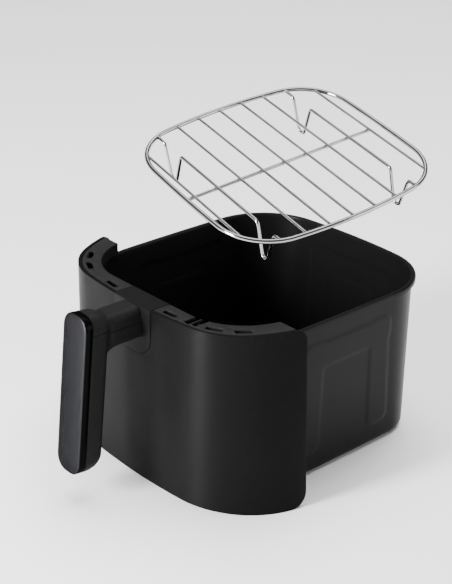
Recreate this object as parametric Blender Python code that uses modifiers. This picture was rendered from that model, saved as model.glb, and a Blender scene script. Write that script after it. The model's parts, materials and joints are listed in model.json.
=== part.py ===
"""Drawer of a square-basket air fryer: pan, front cover with its handle, and a wire rack.

Metres, +Z up.  The origin is the centre of the pan's underside.  The front, with the
handle, faces -Y.  The rack is modelled where it hangs above the pan, lifted out.
"""
from math import atan, cos, pi, radians, sin, sqrt, tan

import bmesh
import bpy
import numpy as np
from mathutils import Matrix, Vector

MM = 0.001
GAP = 0.3 * MM                       # clearance between touching pieces

# ---- pan ----
PAN_TOP = 143.6 * MM                 # top of the rolled rim
PAN_SHEET = 1.2 * MM
RIM_HALF = (110.0 * MM, 117.2 * MM)  # outside of the rolled rim
RIM_RADIUS = 61.0 * MM
LIP_RADIUS = 2.15 * MM
LIP_DROP = 2.6 * MM                  # straight skirt of the rolled rim
FLOOR_HALF = (97.4 * MM, 104.6 * MM)   # inside, where the walls meet the floor
FLOOR_CORNER = 33.2 * MM
FLOOR_FILLET = 6.0 * MM
PAN_BULGE = (0.5 * MM, 2.6 * MM)     # crown of the side and end walls

# ---- front cover ----
COVER_TOP = 153.7 * MM
COVER_SHEET = 3.0 * MM
COVER_END_Y = -62.0 * MM
COVER_CORNER = (9.0 * MM, 13.0 * MM)   # end edge: top and bottom rounding
TOP_ARCS = ((487.9 * MM, 7.6), (63.6 * MM, 61.4), (146.5 * MM, 90.0))
TOP_APEX_Y = -131.8 * MM
FOOT_ARCS = ((589.0 * MM, 5.6), (82.9 * MM, 41.9), (72.8 * MM, 90.0))
FOOT_APEX_Y = -134.3 * MM

# ---- inner frame ----
FLANGE = 3.0 * MM
FLANGE_END_Y = -71.2 * MM
LEDGE_HALF = 103.0 * MM              # inner edge of the flange at its ends
LEDGE_FRONT_Y = -112.0 * MM
LEDGE_CORNER = 55.0 * MM
LEDGE_WALL = 2.0 * MM
LEDGE_FLARE = 0.28                   # slope of the inner edge at its ends
END_PANEL = 3.0 * MM
END_PANEL_FOOT = 4.0 * MM            # height of its lower edge
STEP = 0.2 * MM                      # small set-back where one wall meets another
SLOTS = ((97.0, -100.5, 48.0), (79.0, -114.0, 28.0), (37.0, -122.0, 6.0))   # x, y in mm, bearing
SLOT_SIZE = (14.2 * MM, 5.0 * MM)
SLOT_CORNER = 1.8 * MM
SWITCH_NOTCHES = ((54.0, 59.5, -123.5), (61.0, 66.5, -121.8))   # low x, high x and front y in mm
SWITCH_GAP = 2.5 * MM                # hollow under the notches

# ---- screws between the frame and the cover ----
POST_RADIUS = 3.2 * MM
POST_HEIGHTS = (36.0 * MM, 118.0 * MM)
POST_SPAN = (-86.0 * MM, FLANGE_END_Y - END_PANEL - GAP)
POST_COVER = 0.8 * MM                # skin left outside a post's front end
SCREW_BORE = 1.8 * MM                # radii
SCREW_SHANK = 1.45 * MM
SCREW_HEAD = 3.0 * MM

# ---- escutcheon and handle ----
PLATE_HALF = 23.0 * MM
PLATE_FOOT = 113.4 * MM
PLATE_CORNER = 15.0 * MM
ARM_HALF = 13.0 * MM
ARM_SPAN = (127.0 * MM, 153.4 * MM)
ARM_FILLET = (14.0 * MM, 7.5 * MM)   # hollow corner between the arm and the grip: reach, drop
ARM_FILLET_Y = -152.5 * MM
GRIP_HALF = 15.0 * MM
GRIP_SPAN = (26.5 * MM, 159.5 * MM)  # foot and top of the grip's front face
GRIP_CORNER = 12.0 * MM
GRIP_LEAN = atan(0.115)              # the grip's foot stands further out
GRIP_FRONT_Y = -186.8 * MM           # front face, at the height GRIP_FRONT_Z
GRIP_FRONT_Z = 145.3 * MM
INLAY = 1.6 * MM
BEZEL = 5.7 * MM
GRIP_BODY = 16.6 * MM
GRIP_REAR = ((12.5 * MM, 13.5 * MM), (8.0 * MM, 8.0 * MM))    # rear rounding: foot, top
BEZEL_SCREWS = (-48.0 * MM, 0.0, 48.0 * MM)    # along the grip from its middle
SEAM_Z = (139.7 * MM, 144.5 * MM)    # split of the handle, at the plate and at the bezel

# ---- bracket and handle bolts ----
BRACKET_HALF = 20.0 * MM
BRACKET_FOOT = 34.0 * MM             # outer edge of its welded feet
BRACKET_SPAN = (112.0 * MM, 138.0 * MM)
BRACKET_WEB_Y = -127.9 * MM
BRACKET_SHEET = 1.6 * MM
BOLT_Z = 133.0 * MM
BOLT_X = 7.0 * MM
BOLT_BORE = 2.8 * MM                 # radii
BOLT_SHANK = 2.4 * MM
BOLT_HEAD = 4.2 * MM
BOLT_TIP_Y = -152.0 * MM

# ---- rack ----
RACK_HALF = (90.5 * MM, 97.3 * MM)   # centre line of the rim wire
RACK_CORNER = 45.75 * MM
RACK_BULGE = (3.5 * MM, 0.75 * MM)
RIM_WIRE = 1.9 * MM                  # wire radii
BAR_WIRE = 1.15 * MM
LEG_WIRE = 1.35 * MM
CROSS_WIRE = 1.4 * MM
BAR_COUNT = 9
BAR_PITCH = 21.8 * MM
BAR_OFFSET = -2.5 * MM
LEG_BARS = (2, 8)                    # bars that carry the feet
LEG_DEPTH = 28.0 * MM
LEG_RIGHT = (53.5 * MM, 66.4 * MM, 76.6 * MM)    # inner top, foot and outer top of the right V
LEG_LEFT = (47.5 * MM, 58.8 * MM, 73.0 * MM)
LEG_BEND = 3.3 * MM                  # bend radius at the foot
RACK_SEAT = Vector((0.0, 0.0, 31.2 * MM))
RACK_HOVER = Vector((23.5 * MM, 9.0 * MM, 244.6 * MM))
RACK_TILT = radians(14.95)           # how far the lifted rack leans to the front right
LEAN_BEARING = radians(54.0)
SEAT_YAW = radians(-4.5)


# ---------------------------------------------------------------- scene and helpers

for old in list(bpy.data.objects):
    bpy.data.objects.remove(old, do_unlink=True)

PARTS = bpy.data.collections.new("air_fryer_drawer")
CUTTERS = bpy.data.collections.new("cutters")
bpy.context.scene.collection.children.link(PARTS)
bpy.context.scene.collection.children.link(CUTTERS)


def material(name, colour, roughness, metallic=0.0):
    """A Principled material."""
    made = bpy.data.materials.new(name)
    made.use_nodes = True
    shader = made.node_tree.nodes["Principled BSDF"]
    shader.inputs["Base Color"].default_value = (*colour, 1.0)
    shader.inputs["Roughness"].default_value = roughness
    shader.inputs["Metallic"].default_value = metallic
    return made


COATING = material("nonstick_coating", (0.018, 0.018, 0.020), 0.42)
BLACK_PLASTIC = material("matt_black_plastic", (0.022, 0.022, 0.024), 0.50)
GREY_PLASTIC = material("satin_grey_plastic", (0.035, 0.035, 0.038), 0.45)
GLOSS_PLASTIC = material("gloss_black_plastic", (0.006, 0.006, 0.007), 0.08)
GUNMETAL = material("gunmetal_inlay", (0.11, 0.11, 0.12), 0.35, 0.6)
CHROME = material("chrome_wire", (0.70, 0.70, 0.70), 0.12, 1.0)
STEEL = material("zinc_steel", (0.45, 0.45, 0.46), 0.35, 1.0)


def place(obj, finish):
    """Put a finished piece in the parts collection with its material."""
    for holder in list(obj.users_collection):
        holder.objects.unlink(obj)
    PARTS.objects.link(obj)
    obj.data.materials.clear()
    obj.data.materials.append(finish)
    return obj


def as_mesh(obj):
    """Evaluate a curve or a modified mesh, weld it, and return a plain mesh object."""
    bpy.context.view_layer.update()
    graph = bpy.context.evaluated_depsgraph_get()
    data = bpy.data.meshes.new_from_object(obj.evaluated_get(graph))
    work = bmesh.new()
    work.from_mesh(data)
    bmesh.ops.remove_doubles(work, verts=work.verts, dist=0.00001)
    bmesh.ops.recalc_face_normals(work, faces=work.faces)
    work.to_mesh(data)
    work.free()
    made = bpy.data.objects.new(obj.name + "_mesh", data)
    made.matrix_world = obj.matrix_world.copy()
    CUTTERS.objects.link(made)
    bpy.data.objects.remove(obj, do_unlink=True)
    return made


def flat_curve(name, outline, thickness):
    """A filled 2D outline, extruded to a thickness about its own plane."""
    curve = bpy.data.curves.new(name, "CURVE")
    curve.dimensions = "2D"
    curve.fill_mode = "BOTH"
    curve.extrude = thickness / 2
    spline = curve.splines.new("POLY")
    spline.points.add(len(outline) - 1)
    for point, (x, y) in zip(spline.points, outline):
        point.co = (x, y, 0.0, 1.0)
    spline.use_cyclic_u = True
    obj = bpy.data.objects.new(name, curve)
    CUTTERS.objects.link(obj)
    return obj


def level_plate(name, outline, low, high):
    """A plate with an XY outline between two heights."""
    obj = flat_curve(name, outline, high - low)
    obj.location.z = (low + high) / 2
    return as_mesh(obj)


def upright_plate(name, outline, front, back):
    """A plate with an XZ outline between two Y positions."""
    obj = flat_curve(name, outline, back - front)
    obj.rotation_euler.x = pi / 2
    obj.location.y = (front + back) / 2
    return as_mesh(obj)


def block(name, low, high):
    """A box between two corners."""
    size = [b - a for a, b in zip(low, high)]
    middle = [(a + b) / 2 for a, b in zip(low, high)]
    bpy.ops.mesh.primitive_cube_add(size=1.0)
    obj = bpy.context.object
    obj.name = name
    obj.data.transform(Matrix.Translation(middle) @ Matrix.Diagonal((*size, 1.0)))
    return obj


def rod(name, start, end, radius, sides=16):
    """A cylinder between two points."""
    start = Vector(start)
    axis = Vector(end) - start
    bpy.ops.mesh.primitive_cylinder_add(vertices=sides, radius=radius, depth=axis.length)
    obj = bpy.context.object
    obj.name = name
    turn = axis.to_track_quat("Z", "Y").to_matrix().to_4x4()
    obj.data.transform(Matrix.Translation(start + axis / 2) @ turn)
    return obj


def combine(target, others, operation):
    """Apply a chain of Booleans and remove the tools."""
    for other in others:
        step = target.modifiers.new("combine", "BOOLEAN")
        step.object = other
        step.operation = operation
        step.solver = "EXACT"
    made = as_mesh(target)
    for other in others:
        bpy.data.objects.remove(other, do_unlink=True)
    return made


def copy_of(obj, name):
    """A separate copy of a mesh object."""
    made = bpy.data.objects.new(name, obj.data.copy())
    made.matrix_world = obj.matrix_world.copy()
    CUTTERS.objects.link(made)
    return made


def finish_piece(obj, name, finish, smooth=35):
    """Name a piece, shade it and put it with the parts."""
    obj.name = name
    obj.data.name = name
    obj.data.shade_smooth()
    obj.data.set_sharp_from_angle(angle=radians(smooth))
    return place(obj, finish)


def bevelled(obj, width, segments=2, angle=40):
    """Round the edges of a mesh."""
    step = obj.modifiers.new("round", "BEVEL")
    step.width = width
    step.segments = segments
    step.limit_method = "ANGLE"
    step.angle_limit = radians(angle)
    return as_mesh(obj)


# ---------------------------------------------------------------- outlines

def soft_square(half_x, half_y, radius, bulge_x, bulge_y, corner=7, side=4):
    """Points of a rounded rectangle whose sides are crowned, counter-clockwise from +X."""
    reach_x = half_x - radius
    reach_y = half_y - radius
    for _ in range(12):
        turn_x = atan(2 * bulge_x / reach_y)
        turn_y = atan(2 * bulge_y / reach_x)
        centre_x = half_x - bulge_x - radius * cos(turn_x)
        centre_y = half_y - bulge_y - radius * cos(turn_y)
        reach_y = centre_y + radius * sin(turn_x)
        reach_x = centre_x + radius * sin(turn_y)
    quarter = []
    for k in range(side):
        share = k / side
        quarter.append((half_x - bulge_x * share ** 2, reach_y * share))
    for k in range(corner + 1):
        angle = turn_x + (pi / 2 - turn_x - turn_y) * k / corner
        quarter.append((centre_x + radius * cos(angle), centre_y + radius * sin(angle)))
    for k in range(side - 1, -1, -1):
        share = k / side
        quarter.append((reach_x * share, half_y - bulge_y * share ** 2))
    points = list(quarter)
    points += [(-x, y) for x, y in reversed(quarter[:-1])]
    points += [(-x, -y) for x, y in quarter[1:]]
    points += [(x, -y) for x, y in reversed(quarter[1:-1])]
    return points


def arc_chain(apex_y, arcs, end_y, steps=40):
    """Half of the cover's outline, from its middle to end_y, as a dense run of arcs."""
    points = [(0.0, apex_y)]
    start = 0.0
    for radius, end in arcs:
        x, y = points[-1]
        centre = (x - radius * sin(start), y + radius * cos(start))
        stop = radians(end)
        for k in range(1, steps + 1):
            angle = start + (stop - start) * k / steps
            points.append((centre[0] + radius * sin(angle), centre[1] - radius * cos(angle)))
        start = stop
    points = np.array(points)
    keep = points[points[:, 1] < end_y]
    share = (end_y - keep[-1, 1]) / (points[len(keep), 1] - keep[-1, 1])
    last = keep[-1] + share * (points[len(keep)] - keep[-1])
    return np.vstack([keep, last])


def along(points, distances):
    """Points at the given distances along a polyline."""
    steps = np.linalg.norm(np.diff(points, axis=0), axis=1)
    run = np.concatenate([[0.0], np.cumsum(steps)])
    return np.column_stack([np.interp(distances, run, points[:, axis]) for axis in (0, 1)])


def length_of(points):
    return float(np.linalg.norm(np.diff(points, axis=0), axis=1).sum())


def full_outline(half):
    """Mirror half an outline in X."""
    return np.vstack([half[::-1] * (-1, 1), half[1:]])


def offset_line(points, distance):
    """Move an open line sideways, to its left."""
    tangent = np.gradient(points, axis=0)
    tangent /= np.linalg.norm(tangent, axis=1)[:, None]
    return points + distance * np.column_stack([-tangent[:, 1], tangent[:, 0]])


def cover_line(height, inset=0.0, trim=0.0, columns=34):
    """The cover's outline at one height, with its ends trimmed back."""
    share = height / COVER_TOP
    rows = []
    for apex_y, arcs in ((FOOT_APEX_Y, FOOT_ARCS), (TOP_APEX_Y, TOP_ARCS)):
        half = arc_chain(apex_y, arcs, COVER_END_Y)
        reach = length_of(half) - trim
        rows.append(along(half, np.linspace(0.0, reach, columns // 2 + 1)))
    half = rows[0] * (1 - share) + rows[1] * share
    return offset_line(full_outline(half), inset)


# ---------------------------------------------------------------- pan

def make_pan():
    """The basket: one pressed sheet with a rolled rim."""
    lip_inset = 2 * LIP_RADIUS
    wall_top = PAN_TOP - LIP_RADIUS
    top_half = [size - lip_inset for size in RIM_HALF]
    stations = []
    for k in range(5):
        angle = pi / 2 * k / 4
        stations.append((-FLOOR_FILLET * (1 - sin(angle)), PAN_SHEET + FLOOR_FILLET * (1 - cos(angle))))
    for share in (0.3, 0.65, 0.92, 1.0):
        low = PAN_SHEET + FLOOR_FILLET
        stations.append((0.0, low + (wall_top - low) * share))
    for k in range(1, 7):
        angle = pi * k / 6
        stations.append((LIP_RADIUS * (1 - cos(angle)), wall_top + LIP_RADIUS * sin(angle)))
    stations.append((lip_inset, wall_top - LIP_DROP))

    mesh = bmesh.new()
    rings = []
    for spread, height in stations:
        share = min(height / wall_top, 1.0)
        half = [low + (high - low) * share for low, high in zip(FLOOR_HALF, top_half)]
        radius = FLOOR_CORNER + (RIM_RADIUS - lip_inset - FLOOR_CORNER) * share
        line = soft_square(half[0] + spread, half[1] + spread, radius + spread, *PAN_BULGE)
        rings.append([mesh.verts.new((x, y, height)) for x, y in line])
    mesh.faces.new(rings[0])
    for lower, upper in zip(rings, rings[1:]):
        edges = []
        for ring in (lower, upper):
            for a, b in zip(ring, ring[1:] + ring[:1]):
                edges.append(mesh.edges.get((a, b)) or mesh.edges.new((a, b)))
        bmesh.ops.bridge_loops(mesh, edges=edges)
    bmesh.ops.recalc_face_normals(mesh, faces=mesh.faces)
    floor = min(mesh.faces, key=lambda face: face.calc_center_median().z)
    if floor.normal.z < 0:
        bmesh.ops.reverse_faces(mesh, faces=mesh.faces)
    data = bpy.data.meshes.new("pan")
    mesh.to_mesh(data)
    mesh.free()
    pan = bpy.data.objects.new("pan", data)
    shell = pan.modifiers.new("sheet", "SOLIDIFY")
    shell.thickness = PAN_SHEET
    shell.offset = -1.0
    shell.use_even_offset = True
    return finish_piece(pan, "pan", COATING, 50)


# ---------------------------------------------------------------- front cover

def corner_trim(height):
    """How far the cover's end edge steps back near its rounded corners."""
    top, foot = COVER_CORNER
    for radius, depth in ((foot, height), (top, COVER_TOP - height)):
        if depth < radius:
            return radius - sqrt(radius ** 2 - (radius - depth) ** 2)
    return 0.0


def curved_sheet(name, inset, thickness, heights, trimmed=True):
    """A sheet that follows the cover's outline: a loft with Solidify."""
    mesh = bmesh.new()
    rows = []
    for height in heights:
        trim = corner_trim(height) if trimmed else 0.0
        rows.append([mesh.verts.new((x, y, height)) for x, y in cover_line(height, inset, trim)])
    for lower, upper in zip(rows, rows[1:]):
        for k in range(len(lower) - 1):
            mesh.faces.new((lower[k], lower[k + 1], upper[k + 1], upper[k]))
    data = bpy.data.meshes.new(name)
    mesh.to_mesh(data)
    mesh.free()
    obj = bpy.data.objects.new(name, data)
    CUTTERS.objects.link(obj)
    shell = obj.modifiers.new("sheet", "SOLIDIFY")
    shell.thickness = thickness
    shell.offset = -1.0
    return as_mesh(obj)


def cover_heights():
    """Rows of the cover, close together in its rounded corners."""
    top, foot = COVER_CORNER
    low = [foot * (1 - cos(pi / 2 * k / 5)) for k in range(6)]
    high = [COVER_TOP - top * (1 - cos(pi / 2 * k / 5)) for k in range(6)]
    middle = [foot + (COVER_TOP - top - foot) * k / 4 for k in range(1, 4)]
    return low + middle + high[::-1]


def plate_outline(half, foot, corner, top):
    """The escutcheon's U outline in XZ."""
    points = [(-half, top)]
    for side in (-1, 1):
        for k in range(9):
            angle = pi / 2 * k / 8 if side < 0 else pi / 2 * (1 - k / 8)
            points.append((side * (half - corner + corner * cos(angle)),
                           foot + corner - corner * sin(angle)))
    points.append((half, top))
    return points


def screw_posts():
    """Centres (x, z) of the posts that take the frame's screws, two at each end."""
    places = []
    for height in POST_HEIGHTS:
        line = cover_line(height)
        outside = float(np.interp(POST_SPAN[0], line[-8:, 1], line[-8:, 0]))
        post_x = outside - POST_COVER - POST_RADIUS
        places += [(-post_x, height), (post_x, height)]
    return places


def make_cover(notch):
    """The curved fascia with its handle notch and four screw posts."""
    cover = curved_sheet("front_cover", 0.0, COVER_SHEET, cover_heights())
    posts = [rod("post", (x, POST_SPAN[0], z), (x, POST_SPAN[1], z), POST_RADIUS)
             for x, z in screw_posts()]
    cover = combine(cover, posts, "UNION")
    holes = [rod("hole", (x, POST_SPAN[0] + 2 * MM, z), (x, POST_SPAN[1] + MM, z), SCREW_BORE, 12)
             for x, z in screw_posts()]
    cover = combine(cover, [notch] + holes, "DIFFERENCE")
    return finish_piece(cover, "front_cover", BLACK_PLASTIC)


# ---------------------------------------------------------------- inner frame

def ledge_line(inset=0.0):
    """Inner edge of the flange: straight front, round corners, open to the back."""
    half = LEDGE_HALF + inset
    front = LEDGE_FRONT_Y - inset
    corner = LEDGE_CORNER + inset
    points = []
    for k in range(13):
        angle = pi / 2 * (1 - k / 12) * 0.93
        points.append((half - corner + corner * cos(angle), front + corner - corner * sin(angle)))
    points = np.array([(0.0, front)] + [point for point in points if point[1] < FLANGE_END_Y])
    run = FLANGE_END_Y - points[-1, 1]
    points = np.vstack([points, (points[-1, 0] + run * LEDGE_FLARE, FLANGE_END_Y)])
    return full_outline(points)


def slot(centre_x, centre_y, bearing):
    """A vent slot through the flange: a rounded rectangle at a bearing."""
    reach_x, reach_y = (size / 2 - SLOT_CORNER for size in SLOT_SIZE)
    points = []
    for number, (side_x, side_y) in enumerate(((1, 1), (-1, 1), (-1, -1), (1, -1))):
        for k in range(4):
            angle = pi / 2 * (number + k / 3)
            points.append((side_x * reach_x + SLOT_CORNER * cos(angle),
                           side_y * reach_y + SLOT_CORNER * sin(angle)))
    turn = Matrix.Rotation(radians(bearing), 2)
    turned = [turn @ Vector(point) + Vector((centre_x, centre_y)) for point in points]
    return level_plate("slot", turned, COVER_TOP - 2 * FLANGE, COVER_TOP + FLANGE)


def flange_cuts():
    """Vent slots on both sides and the two switch notches on the right."""
    cuts = []
    for side in (-1, 1):
        for x, y, bearing in SLOTS:
            cuts.append(slot(side * x * MM, y * MM, side * bearing))
    for low, high, front in SWITCH_NOTCHES:
        cuts.append(block("notch", (low * MM, front * MM, COVER_TOP - FLANGE - MM),
                          (high * MM, -100.0 * MM, COVER_TOP + FLANGE)))
    return cuts


def closed_band(outer, inner):
    """The outline between two open lines."""
    return [tuple(point) for point in outer] + [tuple(point) for point in inner[::-1]]


def end_panel(side, end_x):
    """One end wall of the frame, from near the floor up to the flange."""
    foot_line = cover_line(END_PANEL_FOOT, COVER_SHEET + GAP)
    foot_x = float(foot_line[-2, 0]) - MM
    ledge_x = RIM_HALF[0] - 0.6 * MM
    flange_x = LEDGE_HALF + MM
    middle = COVER_TOP - FLANGE / 2
    outline = [(ledge_x, END_PANEL_FOOT), (foot_x, END_PANEL_FOOT), (end_x, 140 * MM), (end_x, middle),
               (flange_x, middle), (flange_x, PAN_TOP + GAP), (ledge_x, PAN_TOP + GAP)]
    outline = [(side * x, z) for x, z in outline]
    return upright_plate("end_panel", outline, FLANGE_END_Y - END_PANEL, FLANGE_END_Y - STEP)


def make_frame(plate_cut):
    """Top flange, the wall that drops to the pan's rim, and the two end panels."""
    outer = cover_line(COVER_TOP, COVER_SHEET + GAP)
    outer = outer[outer[:, 1] < FLANGE_END_Y - MM]
    ends = np.array([(abs(outer[-1, 0]) + STEP, FLANGE_END_Y)])
    outer = np.vstack([ends * (-1, 1), outer, ends])
    flange = level_plate("flange", closed_band(outer, ledge_line()), COVER_TOP - FLANGE, COVER_TOP)
    wall = level_plate("wall", closed_band(ledge_line(LEDGE_WALL), ledge_line(STEP)),
                       PAN_TOP + GAP, COVER_TOP - FLANGE / 2)
    panels = [end_panel(side, float(ends[0, 0]) - GAP) for side in (-1, 1)]
    frame = combine(flange, [wall] + panels, "UNION")
    switch_gap = block("switch_gap", (53.0 * MM, -126.0 * MM, COVER_TOP - FLANGE - SWITCH_GAP),
                       (67.5 * MM, -100.0 * MM, COVER_TOP - FLANGE - STEP))
    holes = [rod("hole", (x, FLANGE_END_Y - 2 * END_PANEL, z), (x, FLANGE_END_Y + MM, z), SCREW_BORE, 12)
             for x, z in screw_posts()]
    frame = combine(frame, [plate_cut, switch_gap] + flange_cuts() + holes, "DIFFERENCE")
    finish_piece(frame, "inner_frame", BLACK_PLASTIC)


def make_frame_screws():
    """Four screws through the end panels into the cover's posts."""
    for number, (x, z) in enumerate(screw_posts(), 1):
        head = rod("head", (x, FLANGE_END_Y + GAP, z), (x, FLANGE_END_Y + 2.0 * MM, z), SCREW_HEAD)
        shank = rod("shank", (x, POST_SPAN[0] + 3 * MM, z), (x, FLANGE_END_Y + MM, z), SCREW_SHANK, 12)
        finish_piece(combine(head, [shank], "UNION"), f"frame_screw_{number}", STEEL)


# ---------------------------------------------------------------- escutcheon and bracket

def bolt_bores(front_y):
    """Clearance bores of the two handle bolts, from front_y back past the bracket."""
    return [rod("bore", (x, front_y, BOLT_Z), (x, -120 * MM, BOLT_Z), BOLT_BORE) for x in (-BOLT_X, BOLT_X)]


def make_escutcheon():
    """The saddle plate round the handle: down the fascia and back over the flange."""
    face = curved_sheet("face", 0.0, COVER_SHEET - GAP, [100 * MM, COVER_TOP], False)
    prism = upright_plate("prism", plate_outline(PLATE_HALF, PLATE_FOOT, PLATE_CORNER, 170 * MM),
                          -150 * MM, -100 * MM)
    face = combine(face, [prism], "INTERSECT")
    top = block("top", (-PLATE_HALF, TOP_APEX_Y + 1.3 * MM, COVER_TOP - FLANGE + GAP),
                (PLATE_HALF, LEDGE_FRONT_Y - 0.1 * MM, COVER_TOP))
    plate = combine(face, [top], "UNION")
    plate = combine(plate, bolt_bores(-140 * MM), "DIFFERENCE")
    finish_piece(plate, "escutcheon", GREY_PLASTIC)


def make_bracket():
    """Pressed steel hat section, its feet welded to the pan's front wall, its web behind the plate."""
    low, high = BRACKET_SPAN
    wall_top = PAN_TOP - LIP_RADIUS
    draft = (RIM_HALF[1] - 2 * LIP_RADIUS - FLOOR_HALF[1]) / wall_top
    foot_y = -(FLOOR_HALF[1] + draft * high + PAN_SHEET + GAP)
    inside = BRACKET_HALF - BRACKET_SHEET
    right = [(BRACKET_HALF, BRACKET_WEB_Y), (BRACKET_HALF, foot_y - BRACKET_SHEET),
             (BRACKET_FOOT, foot_y - BRACKET_SHEET), (BRACKET_FOOT, foot_y),
             (inside, foot_y), (inside, BRACKET_WEB_Y + BRACKET_SHEET)]
    outline = right + [(-x, y) for x, y in reversed(right)]
    bracket = level_plate("bracket", outline, low, high)
    height = bracket.matrix_world.translation.z
    for corner in bracket.data.vertices:
        depth = (corner.co.y - BRACKET_WEB_Y) / (foot_y - BRACKET_WEB_Y)
        corner.co.y += max(depth, 0.0) * draft * (high - height - corner.co.z)
    bracket = combine(bracket, bolt_bores(-140 * MM), "DIFFERENCE")
    finish_piece(bracket, "pan_bracket", STEEL)


def make_handle_bolts():
    """Two bolts from inside the bracket, through the escutcheon, into the arm."""
    head_y = BRACKET_WEB_Y + BRACKET_SHEET + GAP
    for number, x in enumerate((-BOLT_X, BOLT_X), 1):
        head = rod("head", (x, head_y, BOLT_Z), (x, head_y + 3.2 * MM, BOLT_Z), BOLT_HEAD)
        shank = rod("shank", (x, BOLT_TIP_Y, BOLT_Z), (x, head_y + MM, BOLT_Z), BOLT_SHANK)
        finish_piece(combine(head, [shank], "UNION"), f"handle_bolt_{number}", STEEL)


# ---------------------------------------------------------------- handle

def grip_frame():
    """Matrix whose XY plane is the grip's front face: X across, Y up the grip, Z out to the front."""
    middle_z = sum(GRIP_SPAN) / 2
    front_y = GRIP_FRONT_Y - tan(GRIP_LEAN) * (GRIP_FRONT_Z - middle_z)
    return Matrix.Translation((0.0, front_y, middle_z)) @ Matrix.Rotation(pi / 2 - GRIP_LEAN, 4, "X")


def grip_slab(name, half, shrink, depth_low, depth_high, corner):
    """A round-ended slab of the grip between two depths behind its front face."""
    reach = (GRIP_SPAN[1] - GRIP_SPAN[0]) / cos(GRIP_LEAN) / 2 - shrink
    outline = soft_square(half, reach, corner, 0.1 * MM, 0.1 * MM, corner=6, side=1)
    slab = flat_curve(name, outline, depth_high - depth_low)
    offset = Matrix.Translation((0.0, 0.0, -(depth_low + depth_high) / 2))
    slab.matrix_world = grip_frame() @ offset
    return as_mesh(slab)


def make_grip_front():
    """The gunmetal inlay, its gloss bezel, and the screws that hold the bezel."""
    inlay = grip_slab("handle_inlay", GRIP_HALF - GAP, GAP, 0.0, INLAY, GRIP_CORNER)
    finish_piece(bevelled(inlay, 0.4 * MM, 1), "handle_inlay", GUNMETAL)
    bezel = grip_slab("handle_bezel", GRIP_HALF, 0.0, INLAY + GAP, INLAY + BEZEL, GRIP_CORNER)
    sinks = []
    turn = grip_frame()
    for number, up in enumerate(BEZEL_SCREWS, 1):
        def at(depth, up=up):
            return turn @ Vector((0.0, up, -depth))
        sinks.append(rod("sink", at(0.0), at(INLAY + 2.4 * MM), 3.3 * MM))
        sinks.append(rod("bore", at(0.0), at(INLAY + BEZEL + MM), SCREW_BORE, 12))
        head = rod("head", at(INLAY + 0.6 * MM), at(INLAY + 2.1 * MM), 2.9 * MM)
        shank = rod("shank", at(INLAY + MM), at(INLAY + BEZEL + 8 * MM), SCREW_SHANK, 12)
        finish_piece(combine(head, [shank], "UNION"), f"bezel_screw_{number}", STEEL)
    bezel = combine(bezel, sinks, "DIFFERENCE")
    finish_piece(bezel, "handle_bezel", GLOSS_PLASTIC)


def side_prism(name, outline, width):
    """A prism across the drawer, from an outline given as (y, z) points."""
    prism = flat_curve(name, outline, width)
    prism.matrix_world = Matrix(((0, 0, 1, 0), (1, 0, 0, 0), (0, 1, 0, 0), (0, 0, 0, 1)))
    return as_mesh(prism)


def arm_web():
    """The hollow-cornered web that carries the arm down into the back of the grip."""
    inside_y = -175.0 * MM
    reach, drop = ARM_FILLET
    centre_z = ARM_SPAN[0] - drop
    overlap_z = ARM_SPAN[0] + 2 * MM
    outline = [(inside_y, overlap_z), (inside_y, centre_z)]
    for k in range(9):
        angle = pi - pi / 2 * k / 8
        outline.append((ARM_FILLET_Y + reach * cos(angle), centre_z + drop * sin(angle)))
    outline.append((ARM_FILLET_Y, overlap_z))
    return side_prism("web", outline, 2 * (ARM_HALF - 1.5 * MM))


def grip_side(depth_low, depth_high):
    """The grip's side view as a prism: a straight front and round corners at the back."""
    reach = (GRIP_SPAN[1] - GRIP_SPAN[0]) / cos(GRIP_LEAN) / 2 - 0.05 * MM
    points = [(reach, depth_low - MM), (-reach, depth_low - MM)]
    for side, (high, deep) in ((-1, GRIP_REAR[0]), (1, GRIP_REAR[1])):
        for k in range(7):
            angle = pi / 2 * (k if side < 0 else 6 - k) / 6
            points.append((side * (reach - high * (1 - cos(angle))), depth_high - deep * (1 - sin(angle))))
    turn = grip_frame()
    placed = [turn @ Vector((0.0, up, -depth)) for up, depth in points]
    return side_prism("side_view", [(point.y, point.z) for point in placed], 60 * MM)


def make_handle_shells():
    """Grip body and arm as one form, split at the seam into an upper and a lower shell."""
    front = INLAY + BEZEL + GAP
    body = grip_slab("body", GRIP_HALF, 0.0, front, front + GRIP_BODY, GRIP_CORNER)
    body = bevelled(body, 3.5 * MM, 3)
    body = combine(body, [grip_side(front, front + GRIP_BODY - 0.05 * MM)], "INTERSECT")
    arm_low, arm_high = ARM_SPAN
    arm = block("arm", (-ARM_HALF, -178 * MM, arm_low), (ARM_HALF, -120 * MM, arm_high))
    arm = bevelled(arm, 3.0 * MM, 3)
    handle = combine(body, [arm, arm_web()], "UNION")
    outside = curved_sheet("outside", -0.35 * MM, 30 * MM, [60 * MM, 175 * MM], False)
    bores = bolt_bores(BOLT_TIP_Y - MM)
    turn = grip_frame()
    for up in BEZEL_SCREWS:
        bores.append(rod("bore", turn @ Vector((0, up, -front + MM)),
                         turn @ Vector((0, up, -front - 9 * MM)), SCREW_BORE, 12))
    handle = combine(handle, [outside] + bores, "DIFFERENCE")
    near, far = SEAM_Z
    slope = (far - near) / (-178 * MM - TOP_APEX_Y)
    seam = [(y, near + slope * (y - TOP_APEX_Y)) for y in (-215 * MM, -110 * MM)]
    for name, low, high in (("handle_upper_shell", GAP / 2, 60 * MM),
                            ("handle_lower_shell", -160 * MM, -GAP / 2)):
        outline = [(y, z + low) for y, z in seam] + [(y, z + high) for y, z in reversed(seam)]
        shell = combine(copy_of(handle, name), [side_prism("keep", outline, 60 * MM)], "INTERSECT")
        finish_piece(shell, name, BLACK_PLASTIC)
    bpy.data.objects.remove(handle, do_unlink=True)


# ---------------------------------------------------------------- rack

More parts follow.
